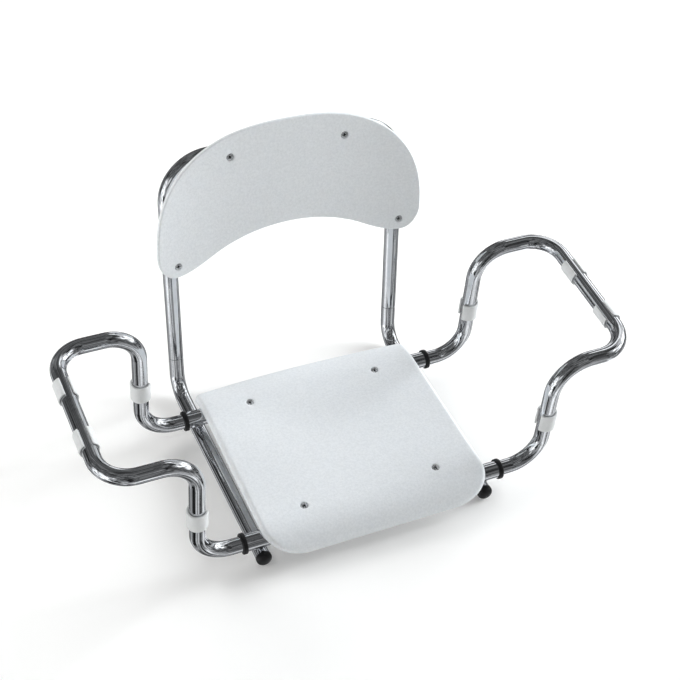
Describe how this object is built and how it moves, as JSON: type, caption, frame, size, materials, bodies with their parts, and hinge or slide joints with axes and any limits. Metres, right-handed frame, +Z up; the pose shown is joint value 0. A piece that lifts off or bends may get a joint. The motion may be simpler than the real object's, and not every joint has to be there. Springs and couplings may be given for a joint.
{
  "type": "bath seat",
  "caption": "Chromed tube bath seat with a moulded seat board, a curved backrest on a tube arch, and two sliding side arms that rest on the bath's rims.",
  "frame": {"origin": "middle of the footprint, at the lowest point of the lower tubes' end caps", "axes": "+Z up, the sitter faces -Y, +X towards the right of someone who looks at the front of the seat"},
  "size_m": [0.7904, 0.4418, 0.4422],
  "materials": {
    "chrome": "polished chrome plate on steel tube",
    "white_plastic": "moulded plastic with a fine leather grain",
    "pad_plastic": "smooth satin plastic",
    "black_rubber": "matt black",
    "screw_steel": "bright stainless steel"
  },
  "bodies": {
    "seat_frame": {"seat_board": "white_plastic", "rear_cross_tube": "chrome", "front_cross_tube": "chrome", "left_lower_tube": "chrome", "right_lower_tube": "chrome", "left_tube_cap": "black_rubber", "right_tube_cap": "black_rubber", "left_rear_collar": "black_rubber", "left_rear_weld": "chrome", "left_rear_seat_screw": "screw_steel", "left_rear_seat_lug": "screw_steel", "left_rear_seat_nut": "screw_steel", "left_front_collar": "black_rubber", "left_front_weld": "chrome", "left_front_seat_screw": "screw_steel", "left_front_seat_lug": "screw_steel", "left_front_seat_nut": "screw_steel", "right_rear_collar": "black_rubber", "right_rear_weld": "chrome", "right_rear_seat_screw": "screw_steel", "right_rear_seat_lug": "screw_steel", "right_rear_seat_nut": "screw_steel", "right_front_collar": "black_rubber", "right_front_weld": "chrome", "right_front_seat_screw": "screw_steel", "right_front_seat_lug": "screw_steel", "right_front_seat_nut": "screw_steel"},
    "left_arm": {"left_arm_tube": "chrome", "left_rear_leg_pad": "pad_plastic", "left_rear_rail_pad": "pad_plastic", "left_rear_lock_screw": "screw_steel", "left_rear_lock_insert": "screw_steel", "left_front_leg_pad": "pad_plastic", "left_front_rail_pad": "pad_plastic", "left_front_lock_screw": "screw_steel", "left_front_lock_insert": "screw_steel"},
    "right_arm": {"right_arm_tube": "chrome", "right_rear_leg_pad": "pad_plastic", "right_rear_rail_pad": "pad_plastic", "right_rear_lock_screw": "screw_steel", "right_rear_lock_insert": "screw_steel", "right_front_leg_pad": "pad_plastic", "right_front_rail_pad": "pad_plastic", "right_front_lock_screw": "screw_steel", "right_front_lock_insert": "screw_steel"},
    "backrest": {"back_tube": "chrome", "backrest_panel": "white_plastic", "left_upper_back_screw": "screw_steel", "left_upper_cap_nut": "screw_steel", "left_lower_back_screw": "screw_steel", "left_lower_cap_nut": "screw_steel", "right_upper_back_screw": "screw_steel", "right_upper_cap_nut": "screw_steel", "right_lower_back_screw": "screw_steel", "right_lower_cap_nut": "screw_steel"}
  },
  "joints": [
    {"name": "left_arm_slide", "type": "slide", "parent": "seat_frame", "child": "left_arm", "axis": [-1, 0, 0], "range_m": [-0.01, 0.055]},
    {"name": "right_arm_slide", "type": "slide", "parent": "seat_frame", "child": "right_arm", "axis": [1, 0, 0], "range_m": [-0.01, 0.055]},
    {"name": "backrest_lift", "type": "slide", "parent": "seat_frame", "child": "backrest", "axis": [0, 0.1253, 0.9921], "range_m": [0, 0.065]}
  ]
}
